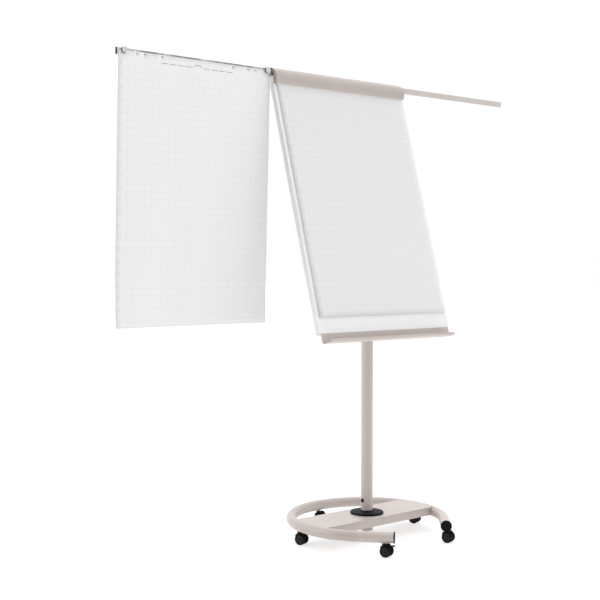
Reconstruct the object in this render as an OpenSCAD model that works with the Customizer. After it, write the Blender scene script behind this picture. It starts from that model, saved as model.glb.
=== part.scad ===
// Mobile flipchart easel: a board on a telescoping column, with two slide-out
// arms at its head and a C-shaped tube base on five twin-wheel castors.
// Millimetres, +Z up. The origin is on the floor, on the axis of the column.
// +X runs along the board's width, -Y is the side that the board faces.

/* [Base] */
// Radius of the C-shaped base tube's centreline
ring_r = 307; // [290:1:330]
// How far the ring's centre lies from the column axis, along Y
ring_cy = -3; // [-6:1:0]
// Height of the base tube's centreline
ring_z = 72; // [70:1:78]
// Outer diameter of the base tube
tube_d = 42; // [38:1:44]
// Wall of the base tube
tube_wall = 2; // [1.5:0.5:3]
// Half of the angle at which the ring stays open towards -Y
ring_open = 48; // [44:1:52]
// Length of the straight legs that close the ring in, end cap included
leg_len = 130; // [110:1:138]
// Depth of the cross beam along Y
beam_depth = 186; // [160:1:190]
// Height of the cross beam's folded walls
beam_h = 33; // [28:1:36]
// Half of the length of the beam's folded walls
beam_half = 263; // [240:1:264]
// Sheet thickness of the cross beam
beam_wall = 3; // [2:0.5:4]

/* [Castors] */
// Diameter of a castor wheel
wheel_d = 44; // [40:1:44]
// Width of one wheel of a pair
wheel_w = 14; // [10:1:14]
// Distance from the swivel axis back to the axle
castor_trail = 13; // [12:1:14]
// Direction in which the castors trail, counted from +X
castor_turn = -72; // [-180:1:180]
// Distance of the front castors from the leg ends
castor_setback = 42; // [34:1:48]

/* [Column] */
// Outer diameter of the lower column tube
column_d = 48; // [46:1:50]
// Outer diameter of the sliding column tube
slide_d = 40; // [38:1:41]
// Wall of both column tubes
column_wall = 2; // [1.5:0.5:2]
// Height of the lower column tube's bottom end
column_foot = 28; // [24:1:34]
// Height of the lower column tube's top end
column_top = 840; // [814:1:844]
// Height of the sliding tube's lower end
slide_foot = 554; // [514:1:634]
// Height of the sliding tube's upper end
slide_top = 1070; // [1064:1:1072]
// Diameter of the collar at the foot of the column
collar_d = 134; // [120:1:140]

/* [Board] */
// Width of the board
board_w = 710; // [700:1:710]
// Height of the board panel along its slope, without the head rail
panel_h = 1040; // [1030:1:1040]
// Thickness of the board
board_t = 22.5; // [20:0.5:24]
// How far the board leans back
tilt = 16; // [15.5:0.5:16.5]
// Place of the panel's lower front edge, along Y
board_y = -118.5; // [-120:0.5:-116]
// Height of the panel's lower front edge
board_z = 838; // [824:1:854]
// Width of the paper
paper_w = 680; // [600:1:680]
// Height of the paper
paper_h = 990; // [900:1:990]
// Thickness of the pad
pad_t = 4; // [2:0.5:5]

/* [Arms] */
// Height of an arm's section
arm_h = 25; // [20:1:25]
// Thickness of an arm's section
arm_t = 8; // [6:0.5:8]
// Length of one arm
arm_len = 742; // [720:1:760]
// How far the left arm's tip stands from the middle, at full reach
left_reach = 1041; // [1000:1:1060]
// How far the right arm's tip stands from the middle, at full reach
right_reach = 1041; // [1000:1:1060]
// How far the hanging sheet leans back
sheet_lean = 2; // [0:0.5:3]

/* [Hidden] */
$fn = 48;
play = 0.3;                 // gap between parts that slide past each other
fit = 0.05;                 // radial clearance of a shaft that turns or slides in its bore
tube_r = tube_d / 2;
column_r = column_d / 2;
slide_r = slide_d / 2;
cap_t = 4;                  // thickness of the tube end caps
cap_rim = 1.5;              // how far they stand proud of the tube
beam_top = ring_z + tube_r - 0.5;
beam_bottom = beam_top - beam_h;
wheel_r = wheel_d / 2;

// ---- base layout ----
function ring_point(a) = [ring_r * sin(a), ring_cy - ring_r * cos(a)];
function leg_point(side, d) =
    ring_point(side * ring_open) + d * [-side * cos(ring_open), -sin(ring_open)];
function leg_azimuth(side) = 90 + side * (90 + ring_open);

side_castors = [-104, 98.5];    // where the side castors sit, counted round from -Y
castor_names = ["front_left", "front_right", "left", "right", "back"];
castor_places = [
    leg_point(-1, leg_len - castor_setback),
    leg_point(1, leg_len - castor_setback),
    ring_point(side_castors[0]),
    ring_point(side_castors[1]),
    ring_point(180)
];
braked = [0, 3];            // which castors carry a brake lever
pin_r = 5.5;                // castor swivel pin
pin_top = ring_z + 5;
pin_seat = 6;               // how deep the swivel pin sits in the hood
neck_r = 8;                 // radius of the hood's neck round the pin
socket_r = 8.5;
hood_top = ring_z - tube_r - 2.5;
axle_r = 2;
wheel_gap = 5;              // half of the gap between the wheels of a pair
hood_gap = 1.4;             // gap between a wheel and the hood over it
brake_at = [castor_trail + 16.5, wheel_r + 18.5];
brake_pin_r = 2;

// ---- column and clamp ----
collar_h = 11;
flange_r = 46;
flange_t = 5;
flange_bolts = 37;          // radius of the circle of flange screws
plug_z = 146;               // height of the plug in the column's side
clamp_z = column_top - 28;
clamp_h = 52;
clamp_r = 31;
stud_z = column_top + 12;
stud_r = 4;
knob_y = 47;                // where the clamp knob's hub starts
bush_h = 60;

// ---- board section: n runs out of the face, s runs up the slope ----
skin_t = 1.2;
trim_w = 8;
trim_foot = 3;
rail_back = 32;
rail_half = 346;
rail_cap_t = 4;
left_arm_at = [-8.6, 1057];
right_arm_at = [-22.7, 1063.5];
bar_centre = [-26, 1033];   // centre of the clamp bar's curved front
bar_r = 48;
bar_t = 2.5;
bar_half = 350;
bar_foot_s = 1003;
bar_cap_t = 4;              // thickness of the clamp bar's end caps
pin_at = [-36.6, 1068];     // clamp bar hinge pin
hinge_r = 2;
knuckle_r = 4.2;
bar_back = pin_at[0] - knuckle_r;   // rear face of the bar and its knuckles
lugs = [-300, 0, 300];
lug_half = 12;
knuckles = [-250, -50, 50, 250];
knuckle_half = 20;
hook_xs = [-148, 148];
hook_s = 1036;
pad_foot = 62;
tray_half = 348;
tray_drop = 40;
tray_depth = 41;
tray_lip = 11;
tray_t = 2;
plate_half = 70;            // half width of the head bracket's plate
plate_t = 3;
plate_s = [150, 345];
cheek_t = 4;
cheek_gap = slide_r + 0.2;
bolt_zs = [998, 1052];
bolt_r = 4;
plate_screws = [[-52, 172], [52, 172], [-52, 323], [52, 323]];
tray_screws_x = [-260, 0, 260];

// board section point in the world's Y and Z
function board_yz(n, s) =
    [board_y + s * sin(tilt) - n * cos(tilt), board_z + s * cos(tilt) + n * sin(tilt)];
left_arm_yz = board_yz(left_arm_at[0], left_arm_at[1]);
right_arm_yz = board_yz(right_arm_at[0], right_arm_at[1]);
arm_cap_t = 3;
stop_len = 14;
sheet_t = 1.2;
sheet_x = [-1039.5, -1039.5 + paper_w];
sheet_drop = 7;             // how far the sheet's top edge sits below the arm's top
sheet_top = left_arm_yz[1] + arm_h / 2 - sheet_drop;
clip_r = 12;
clip_t = 9;
clip_z = left_arm_yz[1] + arm_h / 2;
clip_drop = 7;              // how far the clip's head sits below the arm's top
clip_xs = [-1013, -373];

// ---------------------------------------------------------------- helpers
// places a section drawn in (n, s) on the board and runs it from x0 to x1
module board_run(x0, x1) {
    translate([x0, board_y, board_z])
        rotate([-tilt, 0, 0])
            rotate([90, 0, 90])
                linear_extrude(x1 - x0) mirror([1, 0]) children();
}

// local frame on the board: X across, -Y out of the face, Z up the slope
module on_board() {
    translate([0, board_y, board_z]) rotate([-tilt, 0, 0]) children();
}

module span(n0, n1, s0, s1) {
    translate([n0, s0]) square([n1 - n0, s1 - s0]);
}

// ---------------------------------------------------------------- base
module tube_path(r) {
    translate([0, ring_cy, ring_z])
        rotate([0, 0, ring_open - 90])
            rotate_extrude(angle = 360 - 2 * ring_open, $fn = 96)
                translate([ring_r, 0]) circle(r);
    for (side = [-1, 1])
        translate([each ring_point(side * ring_open), ring_z])
            rotate([0, 90, leg_azimuth(side)]) cylinder(r = r, h = leg_len - cap_t);
}

module socket_holes(r) {
    for (p = castor_places)
        translate([each p, ring_z - tube_r - 1]) cylinder(r = r, h = tube_r);
}

module base_ring() {
    color("#d5cdc8")
        difference() {
            tube_path(tube_r);
            tube_path(tube_r - tube_wall);
            socket_holes(socket_r);
        }
}

module ring_end_caps() {
    color("#1c1c1e")
        for (side = [-1, 1])
            translate([each leg_point(side, leg_len), ring_z])
                rotate([0, -90, leg_azimuth(side)]) {
                    cylinder(r = tube_r + cap_rim, h = cap_t);
                    translate([0, 0, cap_t]) cylinder(r = tube_r - tube_wall, h = 10);
                }
}

module cross_beam() {
    plate_r = ring_r - 2;
    color("#dcd6d1")
        difference() {
            union() {
                translate([0, 0, beam_top - beam_wall])
                    intersection() {
                        translate([-ring_r, -beam_depth / 2, 0])
                            cube([2 * ring_r, beam_depth, beam_wall]);
                        translate([0, ring_cy, 0]) cylinder(r = plate_r, h = beam_wall, $fn = 96);
                    }
                for (side = [-1, 1])
                    translate([-beam_half, side * (beam_depth - beam_wall) / 2 - beam_wall / 2,
                               beam_bottom])
                        cube([2 * beam_half, beam_wall, beam_h]);
            }
            tube_path(tube_r);
            translate([0, 0, beam_bottom]) cylinder(r = column_r, h = beam_h + 1);
            flange_bores();
        }
}

module flange_bores() {
    for (i = [0:3])
        rotate([0, 0, 45 + 90 * i])
            translate([flange_bolts, 0, beam_top - 20]) cylinder(r = 3, h = 40);
}

module castor_sockets() {
    color("#8d8d90")
        for (p = castor_places)
            translate([each p, ring_z - tube_r + 0.2])
                difference() {
                    cylinder(r = socket_r, h = pin_top - ring_z + tube_r);
                    translate([0, 0, -1]) cylinder(r = pin_r + fit, h = tube_d);
                }
}

module column_flange() {
    color("#8d8d90")
        difference() {
            translate([0, 0, beam_top - beam_wall - flange_t])
                cylinder(r = flange_r, h = flange_t);
            cylinder(r = column_r, h = beam_top);
            flange_bores();
        }
}

module flange_screws() {
    color("#77777a")
        for (i = [0:3])
            rotate([0, 0, 45 + 90 * i])
                translate([flange_bolts, 0, beam_top]) {
                    cylinder(r = 5.2, h = 3);
                    translate([0, 0, -beam_wall - flange_t - 6])
                        cylinder(r = 3, h = beam_wall + flange_t + 6);
                    translate([0, 0, -beam_wall - flange_t - 5])
                        cylinder(r = 5.5, h = 5, $fn = 6);
                }
}

module column_collar() {
    rim = 6;
    wall = 2.5;
    color("#232325")
        translate([0, 0, beam_top])
            rotate_extrude($fn = 96)
                polygon([
                    [column_r + 0.1, collar_h - wall], [flange_bolts + 14, collar_h - wall - 3],
                    [collar_d / 2 - wall, 0], [collar_d / 2, 0], [collar_d / 2, rim],
                    [collar_d / 2 - 2, rim + 1.6], [column_r + 8, collar_h],
                    [column_r + 4, collar_h + 3], [column_r + 0.1, collar_h + 3]
                ]);
}

// ---------------------------------------------------------------- column
module column_tube() {
    color("#d5cdc8")
        difference() {
            translate([0, 0, column_foot]) cylinder(r = column_r, h = column_top - column_foot);
            translate([0, 0, column_foot - 1])
                cylinder(r = column_r - column_wall, h = column_top - column_foot + 2);
            translate([0, 0, plug_z]) rotate([0, -90, 0]) cylinder(r = 6, h = column_d);
        }
}

module column_foot_cap() {
    color("#8d8d90")
        translate([0, 0, column_foot - 4]) {
            cylinder(r = column_r, h = 4);
            cylinder(r = column_r - column_wall, h = 16);
        }
}

module column_plug() {
    color("#1c1c1e")
        translate([0, 0, plug_z])
            rotate([0, -90, 0]) {
                cylinder(r = 6, h = column_r + 1);
                translate([0, 0, column_r + 1]) cylinder(r1 = 8, r2 = 6.5, h = 1.5);
            }
}

module column_bush() {
    color("#2b2b2d")
        translate([0, 0, column_top - bush_h])
            difference() {
                cylinder(r = column_r - column_wall, h = bush_h);
                translate([0, 0, -1]) cylinder(r = slide_r + fit, h = bush_h + 2);
            }
}

module height_clamp() {
    color("#29292b")
        difference() {
            union() {
                translate([0, 0, clamp_z]) cylinder(r = clamp_r, h = clamp_h);
                translate([0, 0, stud_z]) rotate([-90, 0, 0]) cylinder(r = 10, h = knob_y - 3);
            }
            translate([0, 0, clamp_z - 1]) cylinder(r = column_r, h = column_top - clamp_z + 1);
            cylinder(r = slide_r + play, h = column_top + clamp_h);
            translate([0, 0, stud_z]) rotate([-90, 0, 0]) cylinder(r = stud_r + fit, h = knob_y);
        }
}

module clamp_stud() {
    color("#9a9a9d")
        translate([0, slide_r + play, stud_z])
            rotate([-90, 0, 0]) cylinder(r = stud_r, h = knob_y - slide_r + 14);
}

module clamp_knob() {
    lobe_r = 7;
    grip_r = 17;
    knob_t = 16;
    color("#1c1c1e")
        translate([0, knob_y - 2.5, stud_z])
            rotate([-90, 0, 0])
                difference() {
                    union() {
                        cylinder(r = 9, h = 6);
                        translate([0, 0, 4]) cylinder(r = grip_r, h = knob_t);
                        for (i = [0:5])
                            rotate([0, 0, 60 * i])
                                translate([grip_r, 0, 4]) cylinder(r = lobe_r, h = knob_t, $fn = 32);
                    }
                    translate([0, 0, -1]) cylinder(r = stud_r, h = 17.8);
                }
}

// ---------------------------------------------------------------- head
module slide_tube() {
    color("#c9c3bf")
        difference() {
            translate([0, 0, slide_foot]) cylinder(r = slide_r, h = slide_top - slide_foot);
            translate([0, 0, slide_foot - 1])
                cylinder(r = slide_r - column_wall, h = slide_top - slide_foot + 2);
            for (z = bolt_zs)
                translate([-slide_d, 0, z]) rotate([0, 90, 0]) cylinder(r = bolt_r, h = 2 * slide_d);
        }
}

module head_bracket() {
    back = -board_t - plate_t;
    rim = 4;                        // how far the cheeks stand past the column tube
    cheek_s = [plate_s[0] + 4, plate_s[1] - 20];    // where they meet the plate
    foot = board_yz(back, cheek_s[0]);
    foot_in = board_yz(back + plate_t / 2, cheek_s[0]);
    head = board_yz(back, cheek_s[1]);
    head_in = board_yz(back + plate_t / 2, cheek_s[1]);
    color("#c9c3bf")
        difference() {
            union() {
                board_run(-plate_half, plate_half)
                    span(back, -board_t, plate_s[0], plate_s[1]);
                for (x = [-cheek_gap - cheek_t, cheek_gap])
                    translate([x, 0, 0])
                        rotate([90, 0, 90])
                            linear_extrude(cheek_t)
                                polygon([foot_in, [slide_r + rim, foot[1]],
                                         [slide_r + rim, slide_top + rim], head, head_in]);
            }
            for (z = bolt_zs)
                translate([-slide_d, 0, z]) rotate([0, 90, 0]) cylinder(r = bolt_r, h = 2 * slide_d);
            on_board()
                for (p = plate_screws)
                    translate([p[0], 0, p[1]]) rotate([-90, 0, 0]) cylinder(r = 3, h = board_t + 10);
        }
}

module bracket_bolts() {
    side = cheek_gap + cheek_t;
    color("#8d8d90")
        for (z = bolt_zs)
            translate([0, 0, z])
                rotate([0, 90, 0]) {
                    translate([0, 0, -side]) cylinder(r = bolt_r, h = 2 * side + 8);
                    translate([0, 0, -side - 5.5]) cylinder(r = 7.5, h = 5.5, $fn = 6);
                    translate([0, 0, side]) cylinder(r = 7.5, h = 6.5, $fn = 6);
                }
}

module bracket_screws() {
    color("#8d8d90")
        on_board()
            for (p = plate_screws)
                translate([p[0], board_t + plate_t, p[1]])
                    rotate([90, 0, 0]) {
                        translate([0, 0, -3.2]) cylinder(r1 = 4, r2 = 5.5, h = 3.2);
                        cylinder(r = 3, h = 16);
                    }
}

module board_core() {
    color("#e9e6e1")
        difference() {
            board_run(-board_w / 2 + trim_w, board_w / 2 - trim_w)
                span(-board_t + skin_t, -skin_t, trim_foot, panel_h);
            on_board() {
                for (p = plate_screws)
                    translate([p[0], board_t + plate_t - 16, p[1]])
                        rotate([-90, 0, 0]) cylinder(r = 3, h = 16);
                for (x = tray_screws_x)
                    translate([x, board_t / 2, 0]) cylinder(r = 2.5, h = 14);
                for (x = hook_xs)
                    translate([x, 0, hook_s]) rotate([-90, 0, 0]) cylinder(r = 3, h = 10);
            }
        }
}

module face_sheet() {
    color("#f4f4f3")
        difference() {
            board_run(-board_w / 2 + 1.5, board_w / 2 - 1.5)
                span(-skin_t, 0, 1.5, panel_h);
            on_board()
                for (x = hook_xs)
                    translate([x, -1, hook_s]) rotate([-90, 0, 0]) cylinder(r = 3, h = 10);
        }
}

module back_sheet() {
    color("#dfdcd8")
        difference() {
            board_run(-board_w / 2 + trim_w, board_w / 2 - trim_w)
                span(-board_t, -board_t + skin_t, trim_foot, panel_h);
            on_board()
                for (p = plate_screws)
                    translate([p[0], board_t - 5, p[1]]) rotate([-90, 0, 0]) cylinder(r = 3, h = 10);
        }
}

// grooved plastic edging down both sides and along the foot
module edge_trim() {
    groove = [-11, -3];
    color("#cfcfce")
        difference() {
            union() {
                for (side = [-1, 1])
                    on_board()
                        linear_extrude(panel_h)
                            scale([side, 1])
                                polygon([
                                    [board_w / 2 - 1.5, 0], [board_w / 2, 0.6],
                                    [board_w / 2, -groove[1]], [board_w / 2 - 2, -groove[1] + 1],
                                    [board_w / 2 - 2, -groove[0] - 1], [board_w / 2, -groove[0]],
                                    [board_w / 2, board_t - 1], [board_w / 2 - 1, board_t],
                                    [board_w / 2 - trim_w, board_t],
                                    [board_w / 2 - trim_w, skin_t], [board_w / 2 - 1.5, skin_t]
                                ]);
                board_run(-board_w / 2 + trim_w, board_w / 2 - trim_w)
                    polygon([[-skin_t, 1.5], [0, 1.5], [-0.5, 0], [-board_t, 0],
                             [-board_t, trim_foot], [-skin_t, trim_foot]]);
            }
            on_board()
                for (x = tray_screws_x)
                    translate([x, board_t / 2, -1]) cylinder(r = 2.5, h = 14);
        }
}

// ---------------------------------------------------------------- head rail
module arm_slot(at) {
    translate(at)
        rotate(-tilt)
            square([arm_t + 2 * play, arm_h + 2 * play], center = true);
}

module rail_outline() {
    intersection() {
        span(-rail_back, 0, panel_h, 1080);
        translate(bar_centre) circle(bar_r - bar_t - 0.6, $fn = 96);
    }
}

module head_rail() {
    color("#c9c3bf")
        difference() {
            union() {
                board_run(-rail_half, rail_half) rail_outline();
                for (x = lugs)
                    board_run(x - lug_half, x + lug_half) {
                        translate(pin_at) circle(knuckle_r - 0.4);
                        span(pin_at[0], -rail_back + 1, pin_at[1] - 3.8, pin_at[1]);
                    }
            }
            board_run(-rail_half - 1, rail_half + 1) {
                arm_slot(left_arm_at);
                arm_slot(right_arm_at);
            }
            board_run(-rail_half, rail_half) translate(pin_at) circle(hinge_r);
        }
}

module rail_end_caps() {
    color("#2b2b2d")
        for (side = [-1, 1])
            difference() {
                board_run(side < 0 ? -rail_half - rail_cap_t : rail_half,
                          side < 0 ? -rail_half : rail_half + rail_cap_t) rail_outline();
                board_run(-rail_half - 10, rail_half + 10)
                    arm_slot(side < 0 ? left_arm_at : right_arm_at);
            }
}

module clamp_hinge_pin() {
    color("#9a9a9d")
        board_run(-rail_half + 30, rail_half - 30) translate(pin_at) circle(hinge_r);
}

// two torsion springs wound round the hinge pin, each drawn as touching coils
module clamp_springs() {
    coil_r = 3.1;
    wire_r = 0.7;
    coils = 8;
    color("#a5a5a8")
        for (x = [-150, 150])
            on_board()
                translate([x, -pin_at[0], pin_at[1]])
                    rotate([0, 90, 0])
                        for (i = [0:coils - 1])
                            translate([0, 0, i * 1.3])
                                rotate_extrude($fn = 32) translate([coil_r, 0]) circle(wire_r, $fn = 16);
}

module pad_hooks() {
    color("#9a9a9d")
        on_board()
            for (x = hook_xs)
                translate([x, 10, hook_s])
                    rotate([90, 0, 0]) {
                        cylinder(r = 3, h = 10 + pad_t + 7);
                        translate([0, 0, 10 + pad_t + 7]) cylinder(r1 = 3.4, r2 = 2.4, h = 2);
                    }
}

module writing_pad() {
    color("#f6f6f6")
        difference() {
            board_run(-paper_w / 2, paper_w / 2)
                span(0, pad_t, pad_foot, pad_foot + paper_h);
            on_board()
                for (x = hook_xs)
                    translate([x, -pad_t - 1, hook_s]) rotate([-90, 0, 0]) cylinder(r = 3.4, h = pad_t + 2);
        }
}

module pen_tray() {
    lip_t = 1.6;
    color("#c9bfba")
        difference() {
            board_run(-tray_half, tray_half)
                union() {
                    span(-board_t + 1, 0, -tray_t, 0);
                    span(-tray_t, 0, -tray_drop, 0);
                    span(-tray_t, tray_depth, -tray_drop, -tray_drop + tray_t);
                    span(tray_depth - lip_t, tray_depth, -tray_drop, -tray_drop + tray_lip);
                }
            on_board()
                for (x = tray_screws_x)
                    translate([x, board_t / 2, -5]) cylinder(r = 2.5, h = 10);
        }
}

module tray_screws() {
    color("#8d8d90")
        on_board()
            for (x = tray_screws_x)
                translate([x, board_t / 2, -tray_t]) {
                    cylinder(r = 2.5, h = 15);
                    translate([0, 0, -3]) cylinder(r1 = 3, r2 = 4.6, h = 3);
                }
}

// ---------------------------------------------------------------- clamp bar
module bar_outline() {
    difference() {
        intersection() {
            translate(bar_centre) circle(bar_r, $fn = 96);
            span(bar_back, 60, bar_foot_s, 1090);
        }
        translate(bar_centre) circle(bar_r - bar_t, $fn = 96);
    }
}

module clamp_bar() {
    color("#d8d0ca")
        difference() {
            union() {
                board_run(-bar_half, bar_half) bar_outline();
                for (x = knuckles)
                    board_run(x - knuckle_half, x + knuckle_half) {
                        translate(pin_at) circle(knuckle_r);
                        span(bar_back, bar_back + bar_t, pin_at[1], 1078);
                    }
            }
            board_run(-bar_half, bar_half) translate(pin_at) circle(hinge_r + fit);
        }
}

// plates that close the bar's ends in front of the rail
module bar_end_caps() {
    color("#a8a29e")
        for (x0 = [-bar_half, bar_half - bar_cap_t])
            board_run(x0, x0 + bar_cap_t)
                intersection() {
                    span(2 * play, 60, bar_foot_s, 1090);
                    translate(bar_centre) circle(bar_r - bar_t, $fn = 96);
                }
}

// soft strip inside the bar's lower edge that presses on the paper
module grip_strip() {
    strip_h = 6;
    color("#c9c5c1")
        board_run(-bar_half + bar_cap_t + 1, bar_half - bar_cap_t - 1)
            difference() {
                span(pad_t + 0.3, 14, bar_foot_s, bar_foot_s + strip_h);
                difference() {
                    translate(bar_centre) circle(bar_r + 20, $fn = 96);
                    translate(bar_centre) circle(bar_r - bar_t, $fn = 96);
                }
            }
}

// ---------------------------------------------------------------- arms
module arm(yz, x0) {
    translate([x0, yz[0] - arm_t / 2, yz[1] - arm_h / 2]) cube([arm_len, arm_t, arm_h]);
}

// outer cap and the stop block at the inner end
module arm_ends(yz, outer_x, inner_x, side) {
    translate([outer_x - (side < 0 ? arm_cap_t : 0), yz[0] - arm_t / 2, yz[1] - arm_h / 2])
        cube([arm_cap_t, arm_t, arm_h]);
    translate([inner_x - (side < 0 ? 0 : stop_len), yz[0] - arm_t / 2, yz[1] - arm_h / 2])
        cube([stop_len, arm_t, arm_h]);
}

module left_arm() {
    color("#c8c2bd") arm(left_arm_yz, -left_reach);
}

module left_arm_ends() {
    color("#1c1c1e") arm_ends(left_arm_yz, -left_reach, -left_reach + arm_len, -1);
}

module right_arm() {
    color("#c8c2bd") arm(right_arm_yz, right_reach - arm_len);
}

module right_arm_ends() {
    color("#a8a29e") arm_ends(right_arm_yz, right_reach, right_reach - arm_len, 1);
}

module hanging_sheet() {
    color("#f3f3f3")
        translate([sheet_x[0], left_arm_yz[0] - arm_t / 2 - 0.2, left_arm_yz[1] - arm_h / 2])
            rotate([sheet_lean, 0, 0])
                translate([0, -sheet_t, sheet_top - left_arm_yz[1] + arm_h / 2 - paper_h])
                    cube([paper_w, sheet_t, paper_h]);
}

// a round-headed clip: the head bears on the sheet and a hook rides over the arm
module clip(x) {
    face_y = left_arm_yz[0] - arm_t / 2 - sheet_t - 1.2;
    hook_w = 10;
    hook_t = 2;
    color("#d8d8d8")
        translate([x, 0, clip_z]) {
            translate([0, face_y, -clip_drop]) rotate([90, 0, 0]) cylinder(r = clip_r, h = clip_t);
            translate([-hook_w / 2, face_y - 1, play])
                cube([hook_w, left_arm_yz[0] + arm_t / 2 + play + hook_t - face_y + 1, hook_t]);
            translate([-hook_w / 2, left_arm_yz[0] + arm_t / 2 + play, -8])
                cube([hook_w, hook_t, 8 + play + hook_t]);
        }
}

module outer_clip() {
    clip(clip_xs[0]);
}

module inner_clip() {
    clip(clip_xs[1]);
}

// ---------------------------------------------------------------- castors
// local frame: swivel axis on Z, the axle trails along +X
module castor_frame(i) {
    translate([each castor_places[i], 0]) rotate([0, 0, castor_turn]) children();
}

module castor_pin(i) {
    color("#8d8d90")
        castor_frame(i) {
            translate([0, 0, hood_top - pin_seat])
                cylinder(r = pin_r, h = pin_seat + pin_top - hood_top);
            translate([0, 0, hood_top]) cylinder(r = 8, h = 2.2);
        }
}

module castor_hood(i) {
    cover_in = wheel_r + hood_gap;
    cover_out = hood_top - wheel_r;
    web_half = wheel_gap - 0.8;
    cover_half = wheel_gap + wheel_w;
    color("#232325")
        castor_frame(i)
            difference() {
                union() {
                    translate([0, 0, wheel_r + 8]) cylinder(r = neck_r, h = hood_top - wheel_r - 8);
                    translate([castor_trail, web_half, wheel_r])
                        rotate([90, 0, 0]) {
                            cylinder(r = 8, h = 2 * web_half);
                            linear_extrude(2 * web_half)
                                polygon([[-5.3, -5.3], [5.3, -5.3], [20, 15.5], [20, 21.5], [11, 24.5],
                                         [-castor_trail, 24.5], [-castor_trail - 7, 17.5]]);
                        }
                    translate([castor_trail, 0, wheel_r])
                        rotate([90, 0, 0])
                            rotate([0, 0, 64])
                                rotate_extrude(angle = 92, $fn = 64)
                                    translate([cover_in, -cover_half])
                                        square([cover_out - cover_in, 2 * cover_half]);
                }
                // room for the wheels beside the web
                for (side = [-1, 1])
                    translate([castor_trail, side * (wheel_gap - 0.6), wheel_r])
                        rotate([side * -90, 0, 0]) cylinder(r = wheel_r + 0.8, h = wheel_w + 2);
                translate([castor_trail, 30, wheel_r])
                    rotate([90, 0, 0]) cylinder(r = axle_r, h = 60);
                translate([0, 0, hood_top - pin_seat]) cylinder(r = pin_r, h = 20);
                translate([brake_at[0], 30, brake_at[1]])
                    rotate([90, 0, 0]) cylinder(r = brake_pin_r + fit, h = 60);
            }
}

module castor_wheels(i) {
    color("#19191b")
        castor_frame(i)
            translate([castor_trail, 0, wheel_r])
                for (side = [-1, 1])
                    rotate([side * -90, 0, 0])
                        rotate_extrude($fn = 64)
                            polygon([
                                [0, wheel_gap - 0.4], [6, wheel_gap - 0.4], [6, wheel_gap],
                                [wheel_r - 1.5, wheel_gap], [wheel_r, wheel_gap + 1.5],
                                [wheel_r, wheel_gap + wheel_w - 2],
                                [wheel_r - 2, wheel_gap + wheel_w],
                                [wheel_r - 6, wheel_gap + wheel_w],
                                [wheel_r - 7, wheel_gap + wheel_w - 1.2],
                                [6, wheel_gap + wheel_w - 1.2], [5, wheel_gap + wheel_w],
                                [0, wheel_gap + wheel_w]
                            ]);
    color("#19191b")
        castor_frame(i)
            translate([castor_trail, wheel_gap, wheel_r])
                rotate([90, 0, 0]) cylinder(r = axle_r - fit, h = 2 * wheel_gap);
}

module castor_brake(i) {
    cheek = 3;
    pedal_half = 13;
    color("#1c1c1e")
        castor_frame(i)
            translate([brake_at[0], 0, brake_at[1]]) {
                rotate([90, 0, 0])
                    translate([0, 0, -wheel_gap - cheek])
                        cylinder(r = brake_pin_r, h = 2 * (wheel_gap + cheek));
                for (side = [-1, 1])
                    translate([0, side * (wheel_gap + cheek / 2) + cheek / 2, 0])
                        rotate([90, 0, 0])
                            linear_extrude(cheek)
                                polygon([[-3, 0], [3, -3], [12, -1], [12, 3.5], [0, 4], [-3, 3]]);
                translate([4, -pedal_half, -0.5]) cube([9, 2 * pedal_half, 4]);
            }
}

// ---------------------------------------------------------------- assembly
base_ring();
ring_end_caps();
cross_beam();
castor_sockets();
column_flange();
flange_screws();
column_collar();
column_tube();
column_foot_cap();
column_plug();
column_bush();
height_clamp();
clamp_stud();
clamp_knob();
slide_tube();
head_bracket();
bracket_bolts();
bracket_screws();
board_core();
face_sheet();
back_sheet();
edge_trim();
head_rail();
rail_end_caps();
clamp_hinge_pin();
clamp_springs();
pad_hooks();
writing_pad();
pen_tray();
tray_screws();
clamp_bar();
bar_end_caps();
grip_strip();
left_arm();
left_arm_ends();
hanging_sheet();
outer_clip();
inner_clip();
right_arm();
right_arm_ends();
for (i = [0:len(castor_names) - 1]) {
    castor_pin(i);
    castor_hood(i);
    castor_wheels(i);
}
for (i = braked)
    castor_brake(i);
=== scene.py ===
"""The looks of the mobile flipchart easel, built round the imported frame, in metres."""
import math
import random

import bmesh
import bpy
from mathutils import Matrix, Vector, geometry, noise


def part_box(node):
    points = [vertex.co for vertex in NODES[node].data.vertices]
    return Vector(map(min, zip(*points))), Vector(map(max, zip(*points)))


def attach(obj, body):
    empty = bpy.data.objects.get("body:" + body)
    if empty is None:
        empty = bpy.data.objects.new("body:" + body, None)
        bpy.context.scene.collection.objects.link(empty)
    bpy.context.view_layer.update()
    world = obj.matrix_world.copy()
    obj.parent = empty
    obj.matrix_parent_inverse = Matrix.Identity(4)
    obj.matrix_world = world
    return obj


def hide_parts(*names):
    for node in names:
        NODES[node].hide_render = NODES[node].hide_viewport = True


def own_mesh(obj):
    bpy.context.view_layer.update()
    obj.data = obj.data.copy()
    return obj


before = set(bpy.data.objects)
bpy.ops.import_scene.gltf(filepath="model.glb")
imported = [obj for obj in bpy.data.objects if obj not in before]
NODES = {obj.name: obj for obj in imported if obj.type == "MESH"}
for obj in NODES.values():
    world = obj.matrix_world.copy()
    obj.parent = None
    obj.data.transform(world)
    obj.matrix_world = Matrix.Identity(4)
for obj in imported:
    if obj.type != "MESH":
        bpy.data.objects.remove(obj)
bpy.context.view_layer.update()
SCENE = bpy.context.scene
MM = 0.001
SIDES = (-1, 1)

# ---------------------------------------------------------------- the board's own frame
TILT = math.radians(16)
PAD_FOOT = 62 * MM
PAD_T = 4 * MM
PAPER_W = 0.68
PAPER_H = 0.99
PAD_LOW, PAD_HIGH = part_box("writing_pad")
BOARD_Y = PAD_LOW.y - PAD_FOOT * math.sin(TILT) + PAD_T * math.cos(TILT)
BOARD_Z = PAD_LOW.z - PAD_FOOT * math.cos(TILT)


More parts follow.
